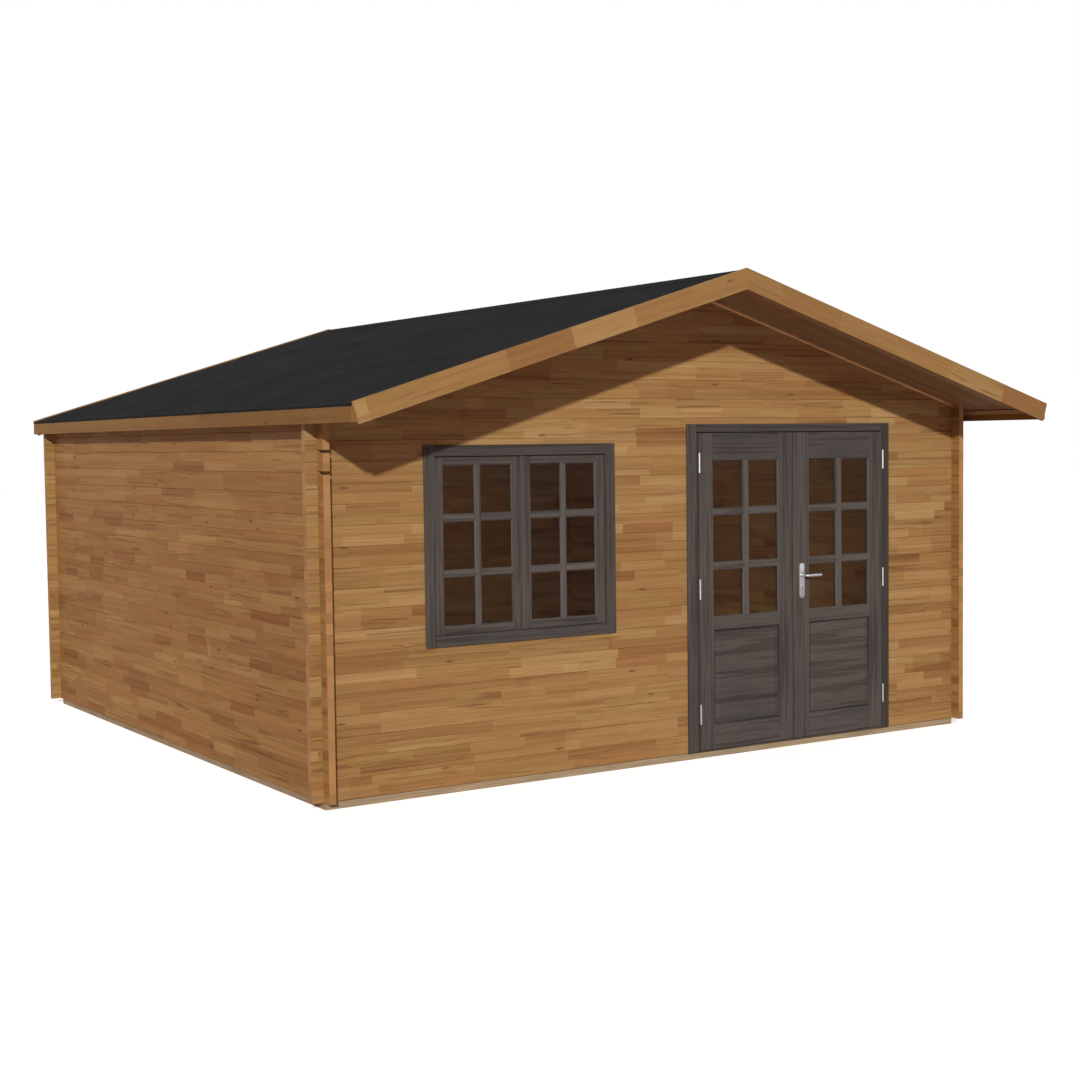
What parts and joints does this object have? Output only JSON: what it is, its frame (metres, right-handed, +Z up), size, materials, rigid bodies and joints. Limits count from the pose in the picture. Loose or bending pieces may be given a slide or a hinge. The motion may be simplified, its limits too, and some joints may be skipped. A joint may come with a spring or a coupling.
{
  "type": "log cabin",
  "caption": "Garden cabin of interlocking wall logs with a low gable roof, deep front overhang, opening double glazed door and a paned window.",
  "frame": {"origin": "on the ground, under the middle of the roof's outline", "axes": "+Z up, -Y towards the front with the door and window, +X to the right seen from the front"},
  "size_m": [4.99, 5.502, 2.935],
  "materials": {
    "log_wood": "planed spruce logs, clear",
    "roof_wood": "planed spruce boards",
    "floor_wood": "planed spruce floor boards",
    "treated_beam": "rough treated timber",
    "roof_felt": "mineral bitumen felt",
    "stained_wood": "dark grey brown stain",
    "clear_glass": "clear pane",
    "steel": "satin"
  },
  "bodies": {
    "root": {"foundation_front_and_back": "treated_beam", "foundation_sides": "treated_beam", "floor_joists": "treated_beam", "floor_boards": "floor_wood", "front_wall_left": "log_wood", "front_wall_under_window": "log_wood", "front_wall_over_openings": "log_wood", "front_wall_middle": "log_wood", "front_wall_right": "log_wood", "front_gable": "log_wood", "left_wall": "log_wood", "right_wall": "log_wood", "back_wall": "log_wood", "back_gable": "log_wood", "purlins": "roof_wood", "roof_boards_left": "roof_wood", "roof_boards_right": "roof_wood", "roof_felt_left": "roof_felt", "roof_felt_right": "roof_felt", "front_bargeboard_left": "roof_wood", "front_bargeboard_right": "roof_wood", "rear_bargeboard_left": "roof_wood", "rear_bargeboard_right": "roof_wood", "eave_boards": "roof_wood", "front_soffit_trim": "roof_wood", "rear_soffit_trim": "roof_wood", "window_frame": "stained_wood", "window_casement_left": "stained_wood", "window_casement_right": "stained_wood", "window_glass": "clear_glass", "door_jambs": "stained_wood", "door_head": "stained_wood", "door_threshold": "stained_wood", "door_hinge_frame_halves": "steel"},
    "left_door": {"left_door_leaf": "stained_wood", "left_door_panel": "stained_wood", "left_door_glass": "clear_glass", "left_door_hinge_halves": "steel"},
    "right_door": {"right_door_leaf": "stained_wood", "right_door_panel": "stained_wood", "right_door_glass": "clear_glass", "right_door_hinge_halves": "steel", "door_handle_plates": "steel"},
    "door_handle": {"door_handle_levers": "steel"}
  },
  "joints": [
    {"name": "left_door_hinge", "type": "hinge", "parent": "root", "child": "left_door", "pos_m": [0.151, -2.102, 1.051], "axis": [0, 0, -1], "range_deg": [0, 110]},
    {"name": "right_door_hinge", "type": "hinge", "parent": "root", "child": "right_door", "pos_m": [1.667, -2.102, 1.051], "axis": [0, 0, 1], "range_deg": [0, 110]},
    {"name": "door_handle_turn", "type": "hinge", "parent": "right_door", "child": "door_handle", "pos_m": [0.97, -2.095, 1.097], "axis": [0, 1, 0], "range_deg": [0, 40], "stiffness_Nm_per_rad": 1.5, "springref_deg": -28.65}
  ]
}
